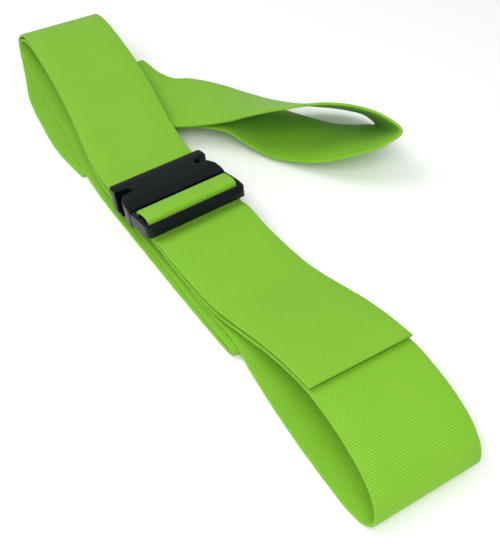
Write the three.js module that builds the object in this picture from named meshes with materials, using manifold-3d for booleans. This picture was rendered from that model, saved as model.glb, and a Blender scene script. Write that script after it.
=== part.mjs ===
// Two-piece luggage strap with a side-release buckle, folded flat for storage.
// Millimetres, +Z up. X runs along the folded strap, from the double fold to the open carrying loop.
import * as THREE from "three";
import Module from "manifold-3d";
import { mergeVertices } from "three/addons/utils/BufferGeometryUtils.js";

const wasm = await Module();
wasm.setup();

// ---- Driving dimensions ----
const WEB_WIDTH = 49;
const WEB_THICK = 1.5;
const AIR = 0.4; // clearance between neighbouring faces
const LAYER = WEB_THICK + AIR; // pitch of webbing layers that lie on each other
const FLOOR_LAYER = WEB_THICK / 2; // mid-height of a layer that lies on the table
const RUN_GAP = 0.3; // joint between two runs of one webbing

const BUCKLE_WIDTH = 54;
const FEMALE_LENGTH = 22.5;
const MALE_LENGTH = 18.6;
const BUCKLE_PITCH = 11; // degrees, adjuster end lifted by the webbing under it
const BUCKLE_YAW = 4;
const BUCKLE_PLACE = [5.4, -0.3, 9]; // middle of the joint between the halves
const SLOT_HALF = WEB_WIDTH / 2 + 0.4;

const SEAM_WIDTH = 40;
const SEAM_THICK = 0.3;
const SEAM_STEPS = 10;
const SEAM_LIFT = 0.3; // from the webbing's face to the stitches

const webbing = new THREE.MeshStandardMaterial({ color: 0x86c93a, roughness: 0.85, metalness: 0 });
const plastic = new THREE.MeshStandardMaterial({ color: 0x0b0d10, roughness: 0.25, metalness: 0 });
const thread = new THREE.MeshStandardMaterial({ color: 0x6fb530, roughness: 0.8, metalness: 0 });

const strap = new THREE.Group();

function place(name, geometry, material, parent = strap) {
  const mesh = new THREE.Mesh(geometry, material);
  mesh.name = name;
  parent.add(mesh);
  return mesh;
}

// ---- Webbing ----

// Points of a route where the webbing's width lies level, across the strap.
const level = (middles, across = [0, 1, 0]) => middles.map((middle) => ({ middle, across }));

// Points of a route where the webbing twists, given by its near and far edges.
const edged = (edges) =>
  edges.map(([near, far]) => ({
    middle: near.map((value, i) => (value + far[i]) / 2),
    across: far.map((value, i) => value - near[i]),
  }));

// A webbing's route, through the points of all its runs, and the point at which each run starts.
function route(runs) {
  const points = runs.flatMap(({ points }) => points);
  const starts = {};
  let first = 0;
  for (const { name, points } of runs) {
    starts[name] = first;
    first += points.length;
  }
  const vectors = (key) => points.map((point) => new THREE.Vector3(...point[key]));
  const across = vectors("across").map((direction) => direction.normalize());
  return {
    starts,
    last: points.length - 1,
    middle: new THREE.CatmullRomCurve3(vectors("middle"), false, "centripetal"),
    across: new THREE.CatmullRomCurve3(across, false, "centripetal"),
  };
}

const WEB_SECTION = { width: WEB_WIDTH, thick: WEB_THICK, lift: 0 };
const SEAM_SECTION = {
  width: SEAM_WIDTH,
  thick: SEAM_THICK,
  lift: WEB_THICK / 2 + SEAM_LIFT + SEAM_THICK / 2,
};

// The four corners of a strip's section at one place on a route, lifted off the route's middle line.
function section(way, u, shift, { width, thick, lift }) {
  const tangent = way.middle.getTangent(u);
  const middle = way.middle.getPoint(u).addScaledVector(tangent, shift);
  const across = way.across.getPoint(u).normalize();
  const normal = new THREE.Vector3().crossVectors(tangent, across).normalize();
  const corners = [[-1, -1], [1, -1], [1, 1], [-1, 1]];
  return corners.map(([side, face]) =>
    middle
      .clone()
      .addScaledVector(across, (side * width) / 2)
      .addScaledVector(normal, lift + (face * thick) / 2),
  );
}

// One run of a webbing, or a seam on it, between two places on its route, as a closed strip.
function run(way, first, end, steps, shape = WEB_SECTION) {
  const count = Math.round((end - first) * steps);
  const positions = [];
  const indices = [];
  for (let i = 0; i <= count; i++) {
    const u = (first + i / steps) / way.last;
    let shift = 0;
    if (i === 0 && first > 0) shift = RUN_GAP / 2;
    if (i === count && end < way.last) shift = -RUN_GAP / 2;
    section(way, u, shift, shape).forEach((corner) => positions.push(...corner.toArray()));
  }
  for (let i = 0; i < count; i++) {
    for (let k = 0; k < 4; k++) {
      const a = i * 4 + k;
      const b = i * 4 + ((k + 1) % 4);
      indices.push(a, b, a + 4, b, b + 4, a + 4);
    }
  }
  const z = count * 4;
  indices.push(0, 2, 1, 0, 3, 2, z, z + 1, z + 2, z, z + 2, z + 3);
  const geometry = new THREE.BufferGeometry();
  geometry.setAttribute("position", new THREE.Float32BufferAttribute(positions, 3));
  geometry.setIndex(indices);
  return geometry;
}

// Lays a webbing: each run goes from its own first point to the first point of the next run.
function layWebbing(runs) {
  const way = route(runs);
  runs.forEach(({ name, steps }, i) => {
    const end = i + 1 < runs.length ? way.starts[runs[i + 1].name] : way.last;
    place(name, run(way, way.starts[name], end, steps), webbing);
  });
  return way;
}

// A band of stitches on a webbing, between two places counted in points from the start of a run.
function sew(name, way, runName, from, to) {
  const start = way.starts[runName];
  place(name, run(way, start + from, start + to, SEAM_STEPS, SEAM_SECTION), thread);
}

// ---- Solids that are cut and joined ----

function toSolid(geometry) {
  const bare = geometry.clone();
  bare.deleteAttribute("normal");
  bare.deleteAttribute("uv");
  const merged = mergeVertices(bare);
  return new wasm.Manifold(
    new wasm.Mesh({
      numProp: 3,
      vertProperties: merged.attributes.position.array,
      triVerts: new Uint32Array(merged.index.array),
    }),
  );
}

function toGeometry(solid) {
  const mesh = solid.getMesh();
  const geometry = new THREE.BufferGeometry();
  geometry.setAttribute("position", new THREE.BufferAttribute(new Float32Array(mesh.vertProperties), 3));
  geometry.setIndex(new THREE.BufferAttribute(new Uint32Array(mesh.triVerts), 1));
  return geometry;
}

// A box between two corners, as a solid.
function block([x0, y0, z0], [x1, y1, z1]) {
  const box = new THREE.BoxGeometry(x1 - x0, y1 - y0, z1 - z0);
  return toSolid(box.translate((x0 + x1) / 2, (y0 + y1) / 2, (z0 + z1) / 2));
}

// A side profile in X and Z, extruded to the given half-width either side of the middle.
function profile(outline, half, middle = 0) {
  const shape = new THREE.Shape(outline.map(([x, z]) => new THREE.Vector2(x, z)));
  const bar = new THREE.ExtrudeGeometry(shape, { depth: 2 * half, bevelEnabled: false, curveSegments: 6 });
  return toSolid(bar.rotateX(Math.PI / 2).translate(0, middle + half, 0));
}

// An outline seen from above, extruded between two heights.
function plate(outline, low, high) {
  const shape = new THREE.Shape(outline.map(([x, y]) => new THREE.Vector2(x, y)));
  const slab = new THREE.ExtrudeGeometry(shape, { depth: high - low, bevelEnabled: false });
  return toSolid(slab.translate(0, 0, low));
}

// A bar across the webbing slots, round at its two ends in side view; one round bar if they coincide.
function crossBar({ start, end, z, radius }) {
  const outline = [];
  for (let i = 0; i < BAR_SIDES; i++) {
    const angle = ((i + 0.5) / BAR_SIDES) * 2 * Math.PI;
    const x = Math.cos(angle) > 0 ? end : start;
    outline.push([x + radius * Math.cos(angle), z + radius * Math.sin(angle)]);
  }
  return profile(outline, SLOT_HALF + OVERCUT);
}

// One half of an outline seen from above, mirrored onto the other side of the buckle.
const mirrored = (outline) => [...outline.map(([x, y]) => [x, -y]), ...outline.slice().reverse()];

// ---- Side-release buckle, in a frame of its own: X towards the adjuster end, Z = 0 underneath ----
const HALF = BUCKLE_WIDTH / 2;
const REAR = -FEMALE_LENGTH;
const MOUTH = 0;
const FRAME_START = MOUTH + AIR;
const FRAME_END = FRAME_START + MALE_LENGTH;
const TALL = 20; // above every buckle part
const DEEP = -2; // below every buckle part
const OVERCUT = 1; // by which a cut or a bar reaches past the face it meets
const CORNER_CUT = 0.5; // of the rounded corners of a window
const BAR_SIDES = 12;
const ANCHOR_BAR = { start: REAR + 2.7, end: REAR + 2.7, z: 5.2, radius: 1.5 };
const CENTRE_BAR = { start: 5.4, end: 11.2, z: 7.2, radius: 1.3 };
const POCKET = { end: REAR + 6.5, high: 10.4 };
const WINDOW = { start: REAR + 7.1, end: REAR + 11, inner: 17.5, bay: 1.6 };
const CAVITY = { start: WINDOW.start, half: 22, low: 2, high: 8.2 };
const PRONG = { root: MOUTH - 0.1, inner: 18.8, outer: 21.2, barb: 24.7, low: 2.5, high: 7.7 };
const TONGUE = { plan: [[-10.4, 3.5], [-9, 5], [1, 6]], low: 3, high: 7 };
const OPENING = { start: 1.9, end: 15.2 };
const WING_HALF = HALF - 0.9; // of the female half, behind its windows

const buckle = new THREE.Group();
buckle.position.set(...BUCKLE_PLACE);
buckle.rotation.set(0, THREE.MathUtils.degToRad(-BUCKLE_PITCH), THREE.MathUtils.degToRad(BUCKLE_YAW), "ZYX");
buckle.updateMatrixWorld(true);
strap.add(buckle);

// The side slot in which a prong catches: square to the side, with a rounded inner end.
function windowSlot(side) {
  const { start, end, inner, bay } = WINDOW;
  const reach = HALF + OVERCUT;
  const outline = [
    [start, reach], [start, inner + bay], [start + CORNER_CUT, inner + CORNER_CUT], [start + bay, inner],
    [end - bay, inner], [end - CORNER_CUT, inner + CORNER_CUT], [end, inner + bay], [end, reach],
  ];
  const outlineOnSide = side > 0 ? outline : outline.map(([x, y]) => [x, -y]).reverse();
  return plate(outlineOnSide, CAVITY.low, TALL);
}

function femaleBody() {
  const shell = profile(
    [
      [REAR + 3.4, 0.4], [REAR + 4, 0], [MOUTH, 0], [MOUTH, 8.7], [MOUTH - 1.5, 9.3], [MOUTH - 6, 10.6],
      [MOUTH - 13, 11.9], [REAR + 4, 12.7], [REAR + 1.1, 12.8], [REAR, 11.9], [REAR, 7], [REAR + 0.9, 3.4],
    ],
    HALF,
  );
  const plan = plate(
    mirrored([
      [REAR, WING_HALF - 2.4], [REAR + 0.7, WING_HALF - 0.7], [REAR + 2.4, WING_HALF],
      [WINDOW.end - 0.2, WING_HALF], [WINDOW.end, HALF - 3.2], [WINDOW.end + 2, HALF - 1.6],
      [WINDOW.end + 5, HALF - 0.5], [MOUTH - 3, HALF], [MOUTH, HALF],
    ]),
    DEEP,
    TALL,
  );
  const webPocket = block([REAR - OVERCUT, -SLOT_HALF, DEEP], [POCKET.end, SLOT_HALF, POCKET.high]);
  const { start, half, low, high } = CAVITY;
  const prongCavity = block([start, -half, low], [MOUTH + OVERCUT, half, high]);
  return shell
    .intersect(plan)
    .subtract(webPocket)
    .subtract(prongCavity)
    .subtract(windowSlot(1))
    .subtract(windowSlot(-1))
    .add(crossBar(ANCHOR_BAR));
}

function maleFrame() {
  const sides = profile(
    [
      [FRAME_START, 1], [FRAME_START, 8.3], [6, 8.5], [12, 8.4], [FRAME_END - 2.4, 7.9],
      [FRAME_END - 0.8, 7.1], [FRAME_END, 5.6], [FRAME_END, 3], [FRAME_END - 1.4, 2], [12, 1.2],
    ],
    HALF,
  );
  const plan = plate(
    mirrored([
      [FRAME_START, HALF], [FRAME_END - 4, HALF], [FRAME_END - 1.9, HALF - 0.5],
      [FRAME_END - 0.5, HALF - 1.8], [FRAME_END, HALF - 3.8],
    ]),
    DEEP,
    TALL,
  );
  const opening = block([OPENING.start, -SLOT_HALF, DEEP], [OPENING.end, SLOT_HALF, TALL]);
  const tongue = plate(mirrored(TONGUE.plan), TONGUE.low, TONGUE.high);
  return sides.intersect(plan).subtract(opening).add(crossBar(CENTRE_BAR)).add(tongue);
}

// A springy prong: an arm from the frame, and a barbed head whose outer face is pressed to release it.
function prong(side) {
  const { root, inner, outer, barb, low, high } = PRONG;
  const shoulder = WINDOW.end - AIR;
  const tip = WINDOW.start + AIR;
  const outline = [
    [root, inner],
    [root, outer],
    [shoulder + 1.5, outer],
    [shoulder, outer + 0.4],
    [shoulder, barb - 0.4],
    [shoulder - 0.8, barb],
    [tip + 0.8, barb - 0.8],
    [tip, barb - 2.4],
    [tip, inner + 1],
    [tip + 1, inner],
  ];
  return plate(side > 0 ? outline.slice().reverse() : outline.map(([x, y]) => [x, -y]), low, high);
}

place("female_body", toGeometry(femaleBody()), plastic, buckle);
place("male_frame", toGeometry(maleFrame()), plastic, buckle);
place("release_prong_left", toGeometry(prong(1)), plastic, buckle);
place("release_prong_right", toGeometry(prong(-1)), plastic, buckle);

// A point of the buckle's side view, in the strap's frame.
const inBuckle = (x, z) => buckle.localToWorld(new THREE.Vector3(x, 0, z)).toArray();

// Points of a route where the webbing lies square to the buckle.
function square(middles) {
  const across = new THREE.Vector3(0, 1, 0).transformDirection(buckle.matrixWorld);
  return level(middles, across.toArray());
}

// Points round one end of a cross bar, from one angle to another, for a webbing that wraps it.
function wrap({ z, radius }, middle, fromDegrees, toDegrees, count) {
  const reach = radius + AIR + WEB_THICK / 2;
  const points = [];
  for (let i = 0; i < count; i++) {
    const angle = THREE.MathUtils.degToRad(fromDegrees + ((toDegrees - fromDegrees) * i) / (count - 1));
    points.push(inBuckle(middle + reach * Math.cos(angle), z + reach * Math.sin(angle)));
  }
  return points;
}

// ---- Webbing of the female half ----
const FIRST = FLOOR_LAYER;
const SECOND = FIRST + LAYER;
const THIRD = SECOND + LAYER;
const FOURTH = THIRD + LAYER + 0.2;
const FIFTH = FOURTH + LAYER + 0.2;

const femaleWay = layWebbing([
  {
    name: "lower_outer_run",
    steps: 1,
    points: level([[-51, -5, FIRST], [-78, -7.5, FIRST], [-105, -6, FIRST], [-132, -2.8, FIRST]]),
  },
  {
    name: "outer_fold",
    steps: 3,
    points: level([[-152, 2.5, 0.9], [-168, 6.8, 3], [-176, 8.8, 8], [-176.6, 9.6, 14], [-170, 10, 20]]),
  },
  {
    name: "upper_outer_run",
    steps: 2,
    points: level([[-158, 9.8, 23], [-140, 9, 23.3], [-110, 7, 21.5], [-80, 4, 18], [-55, 0.6, 14.4]]),
  },
  {
    name: "anchor_bar_turn",
    steps: 3,
    points: [...level([[-34, -1.4, 12.4]]), ...square(wrap(ANCHOR_BAR, ANCHOR_BAR.end, 100, -100, 5))],
  },
  {
    name: "upper_inner_run",
    steps: 2,
    points: level([
      [-34, -1.4, 7.4], [-46, -0.6, 10.4], [-60, 1.2, 12.9], [-80, 4, 15.9], [-110, 7, 19.3], [-140, 9, 21],
    ]),
  },
  {
    name: "inner_fold",
    steps: 3,
    points: level([
      [-157, 9.6, 20.8], [-168, 9.6, 18], [-173.4, 9.2, 13.5], [-172.4, 8.6, 9], [-165, 7.6, 5.3],
    ]),
  },
  {
    name: "lower_inner_run",
    steps: 2,
    points: level([
      [-152, 6.2, 3.2], [-132, 4.4, SECOND], [-105, 2.8, SECOND], [-78, 0.4, SECOND], [-60, -2, SECOND],
      [-46, -3.2, 2.3], [-34, -3.3, 1.1], [-24, -3.2, 0.8], [-10, -2.9, FIRST], [18, -2, FIRST],
      [42, -1.2, FIRST], [62, -0.4, 0.77],
    ]),
  },
  {
    name: "front_fold",
    steps: 4,
    points: level([[82, 0.6, 0.8], [90.4, 1.2, 1.1], [92.6, 1.4, 2.4], [89.6, 1.4, 3.6]]),
  },
  {
    name: "return_run",
    steps: 2,
    points: level([
      [82, 1.2, 3.1], [60, 0.8, SECOND], [30, 0.5, SECOND], [0, 0.5, SECOND], [-28, 1.5, SECOND],
      [-45, 3, 4.3], [-60, 4.5, THIRD], [-85, 9, THIRD], [-108, 14.5, THIRD], [-118, 17.5, 4.8],
    ]),
  },
  {
    name: "rear_fold",
    steps: 4,
    points: [...level([[-123.5, 18.8, 5.5]]), ...edged([[[-123, -5, 7.2], [-126, 43.6, 7.2]]])],
  },
  {
    name: "end_loop_root",
    steps: 3,
    points: edged([
      [[-119, -5.4, FIFTH], [-122, 43.4, FIFTH]],
      [[-93, -2, FIFTH], [-106, 45.5, FIFTH]],
    ]),
  },
  {
    name: "end_loop_neck",
    steps: 4,
    points: edged([
      [[-68, 10, FIFTH], [-97, 49.4, FIFTH]],
      [[-54, 26, 9.6], [-91, 57, 9]],
    ]),
  },
  {
    name: "end_loop_top",
    steps: 3,
    points: edged([
      [[-43, 38, 13], [-83, 64.2, 9]],
      [[-32, 47.8, 18.4], [-73.2, 71, 9]],
      [[-22, 56, 25], [-62.2, 78, 8.4]],
      [[-13.5, 64, 30], [-51.5, 85.8, 7.6]],
      [[-6.5, 74, 33], [-42.5, 95.3, 6.6]],
      [[-1, 88, 33], [-35, 109, 4.6]],
    ]),
  },
  {
    name: "end_loop_tip",
    steps: 4,
    points: edged([
      [[8.5, 99, 33], [-24.5, 121, 4.2]],
      [[22, 107, 32.4], [-14, 127, 4.4]],
      [[33, 111, 28], [-5, 127.5, 3]],
      [[31.5, 102, 22], [-8, 124, 2.4]],
    ]),
  },
  {
    name: "end_loop_bottom",
    steps: 3,
    points: edged([
      [[22.5, 86, 15], [-18, 110, 1.8]],
      [[10, 75, 7.6], [-32, 101, 1.6]],
      [[-11, 62, 3.4], [-50, 90, 1.8]],
      [[-24.5, 55, 6.2], [-62.5, 82, 3.8]],
      [[-34, 48, 11], [-74, 72, 5.6]],
    ]),
  },
  {
    name: "end_loop_sewn_end",
    steps: 3,
    points: edged([
      [[-45.5, 38.7, 9.8], [-85, 65.7, 6.2]],
      [[-56, 27, 7.4], [-93, 58, 6.8]],
      [[-70, 11.5, FOURTH], [-99, 50.9, FOURTH]],
      [[-87, 2, FOURTH], [-105, 47.5, FOURTH]],
    ]),
  },
]);
sew("anchor_seam", femaleWay, "upper_outer_run", 3.6, 4);
sew("end_loop_seam", femaleWay, "end_loop_top", 0.2, 1.1);

// ---- Webbing of the male half ----
const maleWay = layWebbing([
  {
    name: "tail",
    steps: 2,
    points: level([
      [136.5, 8.5, 25], [121, 8.2, 22.6], [106, 7.4, 19.2], [92, 5.8, 15.8], [74, 3.6, 12.4], [54, 2.4, 11],
    ]),
  },
  {
    name: "tail_root",
    steps: 3,
    points: [...level([[38, 1.6, 11.4]]), ...square([inBuckle(22.4, -1), inBuckle(19, -0.85)])],
  },
  {
    name: "centre_bar_turn",
    steps: 3,
    points: square([
      inBuckle(16.3, -0.7),
      inBuckle(14.1, 1.5),
      inBuckle(13.8, 4.3),
      ...wrap(CENTRE_BAR, CENTRE_BAR.end, 0, 90, 3),
      ...wrap(CENTRE_BAR, CENTRE_BAR.start, 90, 270, 5),
      inBuckle(8.6, 3.1),
      inBuckle(11, 0.7),
      inBuckle(13.5, -1.4),
    ]),
  },
  {
    name: "load_run",
    steps: 2,
    points: [
      ...square([inBuckle(16.7, -2.7), inBuckle(21, -3.7)]),
      ...level([
        [38, 1.6, 8], [54, 2.4, 7.4], [74, 3.6, 8.8], [92, 5.8, 12.4], [106, 7.4, 16], [121, 8.2, 19.6],
      ]),
    ],
  },
  {
    name: "carry_loop_top",
    steps: 3,
    points: level([[136.5, 8.3, 22.2], [152, 7.5, 22.6], [166, 6.8, 20.2]]),
  },
  {
    name: "carry_loop_fold",
    steps: 4,
    points: level([[176, 6, 16.5], [183, 4.6, 11.5], [185, 3.2, 6], [181, 2, 1.9]]),
  },
  {
    name: "carry_loop_bottom",
    steps: 2,
    points: level([
      [171, 1, 0.95], [156, 1, 0.8], [142, 1.2, 0.78], [128, 1.8, FIRST], [114, 2.8, 1],
      [102, 3.6, 2.4], [94, 3.8, 5], [86, 4, 5.9], [74, 3.6, 5.2], [54, 2.6, THIRD],
    ]),
  },
]);
sew("carry_loop_seam", maleWay, "load_run", 2.8, 3.6);

export default strap;
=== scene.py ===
"""Looks of a folded two-piece luggage strap: lime webbing, stitching and a black side-release buckle.

Metres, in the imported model's frame. The webbing is rebuilt at full detail along the CAD model's own runs.
"""
import math
import random

import bpy
import numpy as np
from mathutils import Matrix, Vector


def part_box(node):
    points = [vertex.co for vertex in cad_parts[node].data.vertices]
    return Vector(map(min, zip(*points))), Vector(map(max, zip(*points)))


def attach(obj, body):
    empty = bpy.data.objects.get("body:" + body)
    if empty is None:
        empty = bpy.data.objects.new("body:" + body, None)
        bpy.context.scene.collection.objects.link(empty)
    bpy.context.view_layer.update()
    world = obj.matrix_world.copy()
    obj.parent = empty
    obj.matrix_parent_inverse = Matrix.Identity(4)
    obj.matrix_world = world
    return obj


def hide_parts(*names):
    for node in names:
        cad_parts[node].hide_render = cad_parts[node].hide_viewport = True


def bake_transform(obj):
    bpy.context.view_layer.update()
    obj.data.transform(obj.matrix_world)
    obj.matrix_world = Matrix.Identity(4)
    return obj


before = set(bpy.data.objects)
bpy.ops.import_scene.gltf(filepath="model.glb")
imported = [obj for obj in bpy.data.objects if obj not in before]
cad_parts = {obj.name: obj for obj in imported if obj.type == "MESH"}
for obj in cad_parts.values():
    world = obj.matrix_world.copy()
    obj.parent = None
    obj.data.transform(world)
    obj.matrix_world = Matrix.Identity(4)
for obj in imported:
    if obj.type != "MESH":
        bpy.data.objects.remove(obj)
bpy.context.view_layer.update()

MM = 0.001
SEED = 7
random.seed(SEED)
noise_source = np.random.default_rng(SEED)

# ---- Sizes of the webbing and its weave ----
WEB_WIDTH = 49 * MM
WEB_THICK = 1.5 * MM
SELVEDGE = 0.75 * MM  # radius of the rounded edge
SELVEDGE_STEPS = 4
WEFT_PITCH = 1.1 * MM  # from one row of the weave to the next, along the webbing
RINGS_PER_ROW = 3
RING_STEP = WEFT_PITCH / RINGS_PER_ROW
ROW_DEPTH = 0.06 * MM  # of the grooves between the rows
WARP_PITCH = 1.3 * MM  # width of one cell of a row
WEAVE_DEPTH = 0.1 * MM
WEAVE_SWAY = 0.5  # millimetres by which the columns wander
FACE_COLUMNS = 6
EDGE_WANDER = 0.12 * MM  # how far the woven edge strays from straight
WANDER_WINDOW = 12  # rings over which the edge's wander is averaged
WANDER_MARGIN = 20  # rings drawn past each end, so that the average has no ends of its own

# ---- Reading the CAD runs ----
CORNER_DIGITS = 6  # corners that agree to a micrometre are one corner
SPAN_SAMPLES = 12  # of the smooth line, between two CAD cross-sections

# ---- Buckle mouldings ----
MOULDING_VOXEL = 0.32 * MM
MOULDING_PASSES = 7
MOULDING_SOFTNESS = 0.5  # share of each smoothing pass
WELD_REACH = 0.001 * MM

# ---- Stitches ----
THREAD = 0.3 * MM
THREAD_SIDES = 6
STITCH = 2.6 * MM
STITCH_PITCH = 1.18 * STITCH
STITCH_JITTER = 0.05 * MM
STITCH_BEADS = 7  # rings of thread along a stitch
STITCH_BLUNT = 0.08  # share of a stitch at each end that stays blunt
STITCH_SINK = 0.75  # of the thread's radius that its ends lie under the webbing's face
SEAM_SPAN = 42 * MM
SEAM_PITCH = 4 * MM  # from one row of stitches to the next

# ---- Colours, dark and light end of each ----
LIME = ((0.12, 0.363, 0.0125, 1), (0.262, 0.538, 0.031, 1))
THREAD_LIME = ((0.19, 0.46, 0.022, 1), (0.27, 0.57, 0.035, 1))
BLACK = ((0.0012, 0.0028, 0.0034, 1), (0.0038, 0.0062, 0.007, 1))
FLOOR_WHITE = (0.96, 0.96, 0.96, 1)
LAMP_WHITE = (1.0, 0.97, 0.93)
SKY_WHITE = (0.94, 1.0, 1.0, 1)

# ---- Runs of each strip, in order ----
STRAP_RUNS = [
    "lower_outer_run", "outer_fold", "upper_outer_run", "anchor_bar_turn", "upper_inner_run", "inner_fold",
    "lower_inner_run", "front_fold", "return_run", "rear_fold",
]
END_LOOP_RUNS = [
    "end_loop_root", "end_loop_neck", "end_loop_top", "end_loop_tip", "end_loop_bottom", "end_loop_sewn_end",
]
TAIL_RUNS = ["tail", "tail_root"]
CARRY_RUNS = ["centre_bar_turn", "load_run", "carry_loop_top", "carry_loop_fold", "carry_loop_bottom"]


# ---- The runs of webbing, read back from the CAD solids ----


def section_corners(i, neighbours, gaps, taken):
    """The corners of the section that holds corner i: itself, across the width, and their opposite faces."""
    best = None
    diagonal = math.hypot(WEB_WIDTH, WEB_THICK)
    for wide in neighbours[i]:
        for thin in neighbours[i] - {wide}:
            for last in neighbours[wide] - {i, thin}:
                if {wide, thin, last} & taken.keys():
                    continue
                error = (
                    abs(gaps[i, wide] - WEB_WIDTH) + abs(gaps[thin, last] - WEB_WIDTH)
                    + abs(gaps[i, thin] - WEB_THICK) + abs(gaps[wide, last] - WEB_THICK)
                    + abs(gaps[i, last] - diagonal) + abs(gaps[wide, thin] - diagonal)
                )
                if best is None or error < best[0]:
                    best = (error, [i, wide, thin, last])
    return best[1]


def corner_mesh(node):
    """The separate corners of a CAD solid, and which corners share a face with each."""
    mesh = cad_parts[node].data
    corners = np.array([v.co for v in mesh.vertices])
    unique, index = np.unique(np.round(corners, CORNER_DIGITS), axis=0, return_inverse=True)
    index = index.ravel()
    neighbours = {i: set() for i in range(len(unique))}
    for face in mesh.polygons:
        ids = {int(index[v]) for v in face.vertices}
        for i in ids:
            neighbours[i] |= ids - {i}
    return unique, neighbours


def solid_rings(node):
    """The cross-sections of one run of webbing, in order, as (centre, direction across)."""
    unique, neighbours = corner_mesh(node)
    gaps = np.linalg.norm(unique[:, None] - unique[None], axis=2)
    ring_of = {}
    rings = []
    for i in range(len(unique)):
        if i in ring_of:
            continue
        members = section_corners(i, neighbours, gaps, ring_of)
        for m in members:
            ring_of[m] = len(rings)
        across = unique[members[1]] - unique[i]
        rings.append((unique[members].mean(axis=0), across / np.linalg.norm(across)))
    links = {i: set() for i in range(len(rings))}
    for i, near in neighbours.items():
        links[ring_of[i]] |= {ring_of[j] for j in near} - {ring_of[i]}
    ends = [i for i, near in links.items() if len(near) == 1]
    order = [ends[0]]
    while len(order) < len(rings):
        order.append(next(j for j in links[order[-1]] if j not in order))
    return [rings[i] for i in order]


def face_one_way(across):
    """Turns the directions across a strip so that none is the reverse of the one before it."""
    if across[0, 1] < 0:
        across[0] *= -1
    for i in range(1, len(across)):
        if across[i] @ across[i - 1] < 0:
            across[i] *= -1
    return across


def join_runs(nodes):
    """The centres and across directions of several runs that follow each other."""
    chain = solid_rings(nodes[0])
    following = solid_rings(nodes[1])
    ends = [following[0][0], following[-1][0]]
    to_start = min(np.linalg.norm(chain[0][0] - e) for e in ends)
    to_end = min(np.linalg.norm(chain[-1][0] - e) for e in ends)
    if to_start < to_end:
        chain.reverse()
    for node in nodes[1:]:
        rings = solid_rings(node)
        last = chain[-1][0]
        if np.linalg.norm(rings[-1][0] - last) < np.linalg.norm(rings[0][0] - last):
            rings.reverse()
        joint = ((last + rings[0][0]) / 2, chain[-1][1])
        chain = chain[:-1] + [joint] + rings[1:]
    centres = np.array([c for c, _ in chain])
    return centres, face_one_way(np.array([a for _, a in chain]))


def mix(a, b, ta, tb, t):
    """The value at t on the line from a at ta to b at tb."""
    return ((tb - t) * a + (t - ta) * b) / (tb - ta)


def spline_point(data, i, knots, t):
    """A centripetal Catmull-Rom curve's value at t, between data[i] and data[i + 1]."""
    t0, t1, t2, t3 = knots[i - 1:i + 3]
    a1 = mix(data[i - 1], data[i], t0, t1, t)
    a2 = mix(data[i], data[i + 1], t1, t2, t)
    a3 = mix(data[i + 1], data[i + 2], t2, t3, t)
    b1 = mix(a1, a2, t0, t2, t)
    b2 = mix(a2, a3, t1, t3, t)
    return mix(b1, b2, t1, t2, t)


def smooth_line(points, values, step):
    """A smooth curve through points, sampled at even steps, with values carried along it."""
    before = 2 * points[0] - points[1]
    after = 2 * points[-1] - points[-2]
    p = np.vstack([before, points, after])
    v = np.vstack([values[0], values, values[-1]])
    knots = np.concatenate([[0], np.cumsum(np.sqrt(np.linalg.norm(np.diff(p, axis=0), axis=1)))])
    curve = []
    carried = []
    for i in range(1, len(p) - 2):
        for t in np.linspace(knots[i], knots[i + 1], SPAN_SAMPLES + 1)[:-1]:
            curve.append(spline_point(p, i, knots, t))
            carried.append(spline_point(v, i, knots, t))
    curve = np.array(curve + [p[-2]])
    carried = np.array(carried + [v[-2]])
    along = np.concatenate([[0], np.cumsum(np.linalg.norm(np.diff(curve, axis=0), axis=1))])
    count = int(round(along[-1] / step)) + 1
    where = np.linspace(0, along[-1], count)
    centres = np.column_stack([np.interp(where, along, curve[:, k]) for k in range(3)])
    across = np.column_stack([np.interp(where, along, carried[:, k]) for k in range(3)])
    across /= np.linalg.norm(across, axis=1)[:, None]
    return where, centres, across


class Way:
    """A webbing's middle line at even steps, with the directions across it and out of its face."""

    def __init__(self, nodes):
        points, values = join_runs(nodes)
        self.at, self.centres, self.across = smooth_line(points, values, RING_STEP)
        self.length = self.at[-1]
        tangents = np.gradient(self.centres, axis=0)
        tangents /= np.linalg.norm(tangents, axis=1)[:, None]
        normals = np.cross(tangents, self.across)
        self.normals = normals / np.linalg.norm(normals, axis=1)[:, None]

    def point(self, s, v, lift):
        """A point at s metres along, v across from the middle and lift out of the face."""
        sample = [
            np.array([np.interp(s, self.at, a[:, k]) for k in range(3)])
            for a in (self.centres, self.across, self.normals)
        ]
        return sample[0] + v * sample[1] + lift * sample[2]


# ---- Meshes ----


def new_object(name, vertices, faces, uvs=None):
    """A smooth-shaded mesh object, with a UV map called weave if one UV for each vertex is given."""
    mesh = bpy.data.meshes.new(name)
    mesh.from_pydata([tuple(v) for v in vertices], [], faces)
    if uvs is not None:
        layer = mesh.uv_layers.new(name="weave")
        loop_vertices = np.zeros(len(mesh.loops), dtype=int)
        mesh.loops.foreach_get("vertex_index", loop_vertices)
        layer.data.foreach_set("uv", np.asarray(uvs)[loop_vertices].astype(np.float32).ravel())
    mesh.polygons.foreach_set("use_smooth", [True] * len(mesh.polygons))
    mesh.validate()
    obj = bpy.data.objects.new(name, mesh)
    bpy.context.scene.collection.objects.link(obj)
    return obj


def section_outline():
    """The webbing's cross-section, as (across, lift) points: two flat faces and two round selvedges."""
    flat = WEB_WIDTH / 2 - SELVEDGE
    face = [(-flat + 2 * flat * i / FACE_COLUMNS, WEB_THICK / 2) for i in range(FACE_COLUMNS + 1)]
    turn = [math.pi / 2 - math.pi * k / (SELVEDGE_STEPS + 1) for k in range(1, SELVEDGE_STEPS + 1)]
    edge = [(flat + SELVEDGE * math.cos(a), WEB_THICK / 2 * math.sin(a)) for a in turn]
    half_way = face + edge
    return half_way + [(-v, -h) for v, h in half_way]


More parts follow.
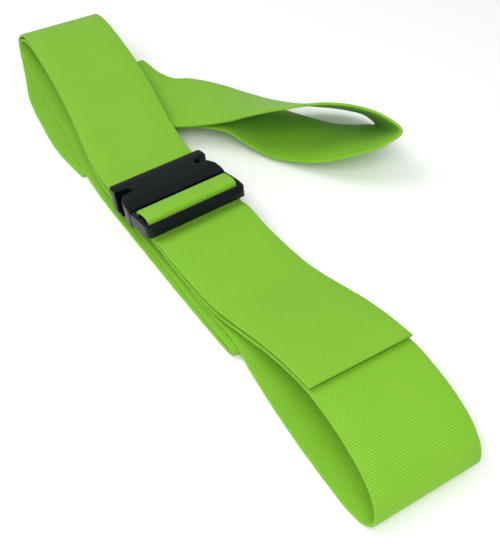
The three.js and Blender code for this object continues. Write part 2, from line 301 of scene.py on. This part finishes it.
def edge_wander(count):
    """How far the woven edge strays at each ring, as smoothed noise about zero."""
    steps = noise_source.normal(0, 1, count + 2 * WANDER_MARGIN)
    window = np.ones(WANDER_WINDOW) / WANDER_WINDOW
    return np.convolve(steps, window, "same")[WANDER_MARGIN:WANDER_MARGIN + count]


def strip_faces(count, around):
    """The faces of a closed strip of count rings, each with the given number of points round it."""
    faces = []
    for i in range(count - 1):
        for k in range(around):
            n = (k + 1) % around
            faces.append((i * around + k, (i + 1) * around + k, (i + 1) * around + n, i * around + n))
    faces.append(tuple(range(around)))
    faces.append(tuple((count - 1) * around + k for k in reversed(range(around))))
    return faces


def webbing(name, way):
    """One strip of webbing along a way."""
    outline = np.array(section_outline())
    count, around = len(way.at), len(outline)
    spread = 1 + (EDGE_WANDER / (WEB_WIDTH / 2)) * edge_wander(count)
    row = 2 * math.pi * np.arange(count) / RINGS_PER_ROW
    swell = 1 - ROW_DEPTH / (WEB_THICK / 2) * (0.5 - 0.5 * np.cos(row))
    v = outline[:, 0][None, :] * spread[:, None]
    lift = outline[:, 1][None, :] * swell[:, None]
    vertices = (
        way.centres[:, None, :]
        + v[:, :, None] * way.across[:, None, :]
        + lift[:, :, None] * way.normals[:, None, :]
    ).reshape(-1, 3)
    arc = np.concatenate([[0], np.cumsum(np.linalg.norm(np.diff(outline, axis=0), axis=1))])
    rows_along = np.arange(count) * RING_STEP
    uvs = np.stack(np.broadcast_arrays(rows_along[:, None], arc[None, :]), axis=2).reshape(-1, 2)
    return new_object(name, vertices, strip_faces(count, around), uvs / MM)


def stitch_vertices(way, s, middle, lift):
    """The rings of one stitch of thread, laid across the webbing at s with its middle at the given place."""
    vertices = []
    for b in range(STITCH_BEADS):
        t = b / (STITCH_BEADS - 1)
        swell = math.sin(math.pi * min(max(t, STITCH_BLUNT), 1 - STITCH_BLUNT)) ** 0.5
        v = middle + (t - 0.5) * STITCH
        height = lift + THREAD / 2 * (math.sin(math.pi * t) - STITCH_SINK)
        for k in range(THREAD_SIDES):
            a = 2 * math.pi * k / THREAD_SIDES
            ds = THREAD / 2 * swell * math.cos(a)
            dh = THREAD / 2 * swell * math.sin(a)
            vertices.append(way.point(s + ds, v, height + dh))
    return vertices


def stitch_faces(base):
    """The faces of one stitch whose first vertex is base."""
    faces = []
    for b in range(STITCH_BEADS - 1):
        for k in range(THREAD_SIDES):
            n = (k + 1) % THREAD_SIDES
            a0, a1 = base + b * THREAD_SIDES, base + (b + 1) * THREAD_SIDES
            faces.append((a0 + k, a0 + n, a1 + n, a1 + k))
    faces.append(tuple(base + k for k in reversed(range(THREAD_SIDES))))
    faces.append(tuple(base + (STITCH_BEADS - 1) * THREAD_SIDES + k for k in range(THREAD_SIDES)))
    return faces


def stitches(name, way, rows, lift):
    """Rows of thread stitches across a webbing, each row at its own place along the way."""
    vertices, faces = [], []
    per_row = int(SEAM_SPAN / STITCH_PITCH)
    for s in rows:
        for j in range(per_row):
            jitter = random.uniform(-STITCH_JITTER, STITCH_JITTER)
            middle = -SEAM_SPAN / 2 + SEAM_SPAN * (j + 0.5) / per_row + jitter
            faces += stitch_faces(len(vertices))
            vertices += stitch_vertices(way, s, middle, lift)
    return new_object(name, vertices, faces)


# ---- Materials ----


def new_material(name):
    """A material with one principled shader, returned with its node tree and the shader."""
    material = bpy.data.materials.new(name)
    material.use_nodes = True
    tree = material.node_tree
    tree.nodes.clear()
    output = tree.nodes.new("ShaderNodeOutputMaterial")
    shader = tree.nodes.new("ShaderNodeBsdfPrincipled")
    tree.links.new(shader.outputs["BSDF"], output.inputs["Surface"])
    return material, tree, shader


def math_node(tree, operation, first, second=None):
    """A maths node on sockets or numbers, returning its result."""
    node = tree.nodes.new("ShaderNodeMath")
    node.operation = operation
    for socket, value in zip(node.inputs, (first, second)):
        if value is None:
            continue
        if isinstance(value, (int, float)):
            socket.default_value = value
        else:
            tree.links.new(value, socket)
    return node.outputs[0]


def noise_node(tree, vector, scale, detail):
    node = tree.nodes.new("ShaderNodeTexNoise")
    node.inputs["Scale"].default_value = scale
    node.inputs["Detail"].default_value = detail
    tree.links.new(vector, node.inputs["Vector"])
    return node.outputs["Fac"]


def object_space(tree):
    return tree.nodes.new("ShaderNodeTexCoord").outputs["Object"]


def colour_between(tree, shader, factor, colours, start=0.0, end=1.0):
    """Sets the base colour between a dark and a light colour, as factor goes from start to end."""
    ramp = tree.nodes.new("ShaderNodeValToRGB")
    for element, position, colour in zip(ramp.color_ramp.elements, (start, end), colours):
        element.position = position
        element.color = colour
    tree.links.new(factor, ramp.inputs["Fac"])
    tree.links.new(ramp.outputs["Color"], shader.inputs["Base Color"])


def bump_from(tree, shader, height, strength, distance):
    bump = tree.nodes.new("ShaderNodeBump")
    bump.inputs["Strength"].default_value = strength
    bump.inputs["Distance"].default_value = distance
    tree.links.new(height, bump.inputs["Height"])
    tree.links.new(bump.outputs["Normal"], shader.inputs["Normal"])


def webbing_material():
    """Plain-woven webbing: rows of weft and columns of warp cords, each cell a small cushion, with painted
    shade in the grooves between the cushions.
    """
    material, tree, shader = new_material("webbing_lime")
    uv_map = tree.nodes.new("ShaderNodeUVMap")
    uv_map.uv_map = "weave"
    uv = uv_map.outputs["UV"]
    split = tree.nodes.new("ShaderNodeSeparateXYZ")
    tree.links.new(uv, split.inputs[0])

    def math_of(operation, first, second=None):
        return math_node(tree, operation, first, second)

    # The UV map is in millimetres: X along the webbing, Y across it.
    sway = math_of("MULTIPLY", noise_node(tree, uv, 0.35, 2), WEAVE_SWAY)
    along = math_of("MULTIPLY", split.outputs["X"], MM / WEFT_PITCH)
    across = math_of("MULTIPLY", math_of("ADD", split.outputs["Y"], sway), MM / WARP_PITCH)
    row = math_of("FLOOR", math_of("ADD", along, 0.5))
    offset_cells = math_of("ADD", across, math_of("MULTIPLY", row, 0.5))
    in_row = math_of("ABSOLUTE", math_of("COSINE", math_of("MULTIPLY", along, math.pi)))
    in_cell = math_of("ABSOLUTE", math_of("SINE", math_of("MULTIPLY", offset_cells, math.pi)))
    cell = math_of("MULTIPLY", math_of("POWER", in_row, 0.7), math_of("POWER", in_cell, 0.3))
    fibres = noise_node(tree, uv, 7.0, 3)
    patches = noise_node(tree, uv, 0.05, 3)
    height = math_of("ADD", cell, math_of("MULTIPLY", fibres, 0.3))
    mottling = math_of("ADD", math_of("MULTIPLY", fibres, 0.4), math_of("MULTIPLY", patches, 0.15))
    # Painted shade: the colour follows the cushions' height, lighter on their tops and darker in the grooves
    # between them; the mottling is random tone.
    tone = math_of("ADD", math_of("MULTIPLY", cell, 0.55), mottling)
    colour_between(tree, shader, tone, LIME, start=0.2, end=0.95)
    bump_from(tree, shader, height, strength=0.52, distance=WEAVE_DEPTH)
    shader.inputs["Roughness"].default_value = 0.65
    shader.inputs["Specular IOR Level"].default_value = 0.25
    shader.inputs["Sheen Weight"].default_value = 0.06
    shader.inputs["Sheen Roughness"].default_value = 0.5
    return material


def thread_material():
    """Polyester thread with a fine mottled tone."""
    material, tree, shader = new_material("thread_lime")
    colour_between(tree, shader, noise_node(tree, object_space(tree), 2500, 2), THREAD_LIME)
    shader.inputs["Roughness"].default_value = 0.5
    return material


def buckle_material():
    """Semi-gloss black plastic: a fine moulded grain, and slight patches of tone and gloss."""
    material, tree, shader = new_material("buckle_black")
    place = object_space(tree)
    grain = noise_node(tree, place, 1500, 4)
    wear = noise_node(tree, place, 120, 5)
    colour_between(tree, shader, wear, BLACK)
    roughness = math_node(tree, "ADD", math_node(tree, "MULTIPLY", wear, 0.16), 0.16)
    tree.links.new(roughness, shader.inputs["Roughness"])
    bump_from(tree, shader, grain, strength=0.25, distance=0.03 * MM)
    shader.inputs["Specular IOR Level"].default_value = 0.17
    return material


def dress(obj, material):
    """Gives a piece its material, in its only material slot."""
    obj.data.materials.clear()
    obj.data.materials.append(material)
    return obj


# ---- Pieces ----


def lay(name, runs, body):
    """A strip of webbing in place of its CAD runs, on its body, or on no body if none is given."""
    way = Way(runs)
    strip = dress(webbing(name, way), lime)
    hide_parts(*runs)
    if body:
        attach(strip, body)
    return way, strip


def bend_over(strip):
    """Bakes a strip's transform into its mesh; no bend over a hinge is set up."""
    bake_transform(strip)


def moulding(name, node, body):
    """A plastic moulding in place of its CAD solid: a copy, remeshed finely and smoothed to soft edges."""
    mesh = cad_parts[node].data.copy()
    mesh.name = name
    piece = bpy.data.objects.new(name, mesh)
    bpy.context.scene.collection.objects.link(piece)
    weld = piece.modifiers.new("weld", "WELD")
    weld.merge_threshold = WELD_REACH
    remesh = piece.modifiers.new("remesh", "REMESH")
    remesh.mode = "VOXEL"
    remesh.voxel_size = MOULDING_VOXEL
    remesh.use_smooth_shade = True
    smooth = piece.modifiers.new("smooth", "SMOOTH")
    smooth.factor = MOULDING_SOFTNESS
    smooth.iterations = MOULDING_PASSES
    dress(piece, black)
    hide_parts(node)
    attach(piece, body)


def seam(name, way, node, body, rows):
    """Rows of stitches in place of a CAD seam, on the webbing's upper face."""
    low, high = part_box(node)
    centre = (low + high) / 2
    distances = np.linalg.norm(way.centres - np.array(centre), axis=1)
    s = way.at[distances.argmin()]
    places = [s + SEAM_PITCH * (i - (rows - 1) / 2) for i in range(rows)]
    piece = dress(stitches(name, way, places, WEB_THICK / 2), thread)
    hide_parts(node)
    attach(piece, body)


# ---- Floor, light and camera ----


def make_floor(reach=4.0, drop=0.2 * MM):
    """A white floor just under the strap, so that the two don't share a plane."""
    material, _, shader = new_material("floor_white")
    shader.inputs["Base Color"].default_value = FLOOR_WHITE
    shader.inputs["Roughness"].default_value = 0.9
    corners = [(-reach, -reach, 0), (reach, -reach, 0), (reach, reach, 0), (-reach, reach, 0)]
    floor = new_object("floor", corners, [(0, 1, 2, 3)])
    floor.data.materials.append(material)
    floor.location.z = -drop


def make_light(name, location, size, power, target=(0, 0.03, 0)):
    """A square soft light that faces the strap."""
    data = bpy.data.lights.new(name, "AREA")
    data.color = LAMP_WHITE
    data.size = size
    data.energy = power
    light = bpy.data.objects.new(name, data)
    light.location = location
    light.rotation_mode = "QUATERNION"
    light.rotation_quaternion = (Vector(target) - Vector(location)).to_track_quat("-Z", "Y")
    bpy.context.scene.collection.objects.link(light)


def make_world(strength):
    """Even light from all round."""
    world = bpy.data.worlds.new("studio")
    world.use_nodes = True
    background = world.node_tree.nodes["Background"]
    background.inputs["Color"].default_value = SKY_WHITE
    background.inputs["Strength"].default_value = strength
    bpy.context.scene.world = world


def make_camera(azimuth, elevation, look_at, distance, lens):
    """The camera, in degrees round from -Y and up from the floor, and metres from the point looked at."""
    a, e = math.radians(azimuth), math.radians(elevation)
    back = Vector((math.sin(a) * math.cos(e), -math.cos(a) * math.cos(e), math.sin(e)))
    data = bpy.data.cameras.new("camera")
    data.sensor_width = 36
    data.lens = lens
    data.clip_start = 0.01
    camera = bpy.data.objects.new("camera", data)
    camera.location = Vector(look_at) + back * distance
    camera.rotation_mode = "QUATERNION"
    camera.rotation_quaternion = (-back).to_track_quat("-Z", "Y")
    bpy.context.scene.collection.objects.link(camera)
    bpy.context.scene.camera = camera


# ---- The strap ----

lime = webbing_material()
thread = thread_material()
black = buckle_material()

strap_way, _ = lay("strap_webbing", STRAP_RUNS, "female_webbing")
end_way, end_strip = lay("end_loop_webbing", END_LOOP_RUNS, None)
_, tail_strip = lay("tail_webbing", TAIL_RUNS, None)
carry_way, _ = lay("carry_webbing", CARRY_RUNS, "male_half")
bend_over(end_strip)
bend_over(tail_strip)

moulding("female_moulding", "female_body", "female_buckle")
moulding("male_moulding", "male_frame", "male_half")
moulding("left_prong_moulding", "release_prong_left", "left_prong")
moulding("right_prong_moulding", "release_prong_right", "right_prong")

seam("anchor_stitching", strap_way, "anchor_seam", "female_webbing", rows=1)
seam("carry_stitching", carry_way, "carry_loop_seam", "male_half", rows=3)
seam("end_loop_stitching", end_way, "end_loop_seam", "end_loop", rows=2)

make_floor()
make_light("key", (-0.5, -0.42, 0.95), size=0.7, power=4.5)
make_light("fill", (0.45, -0.25, 0.6), size=0.5, power=3.4)
make_world(strength=0.6)
make_camera(58.5, 46.0, (0.0552, 0.0085, 0), 0.3689, 52.36)
bpy.context.scene.view_settings.view_transform = "Standard"
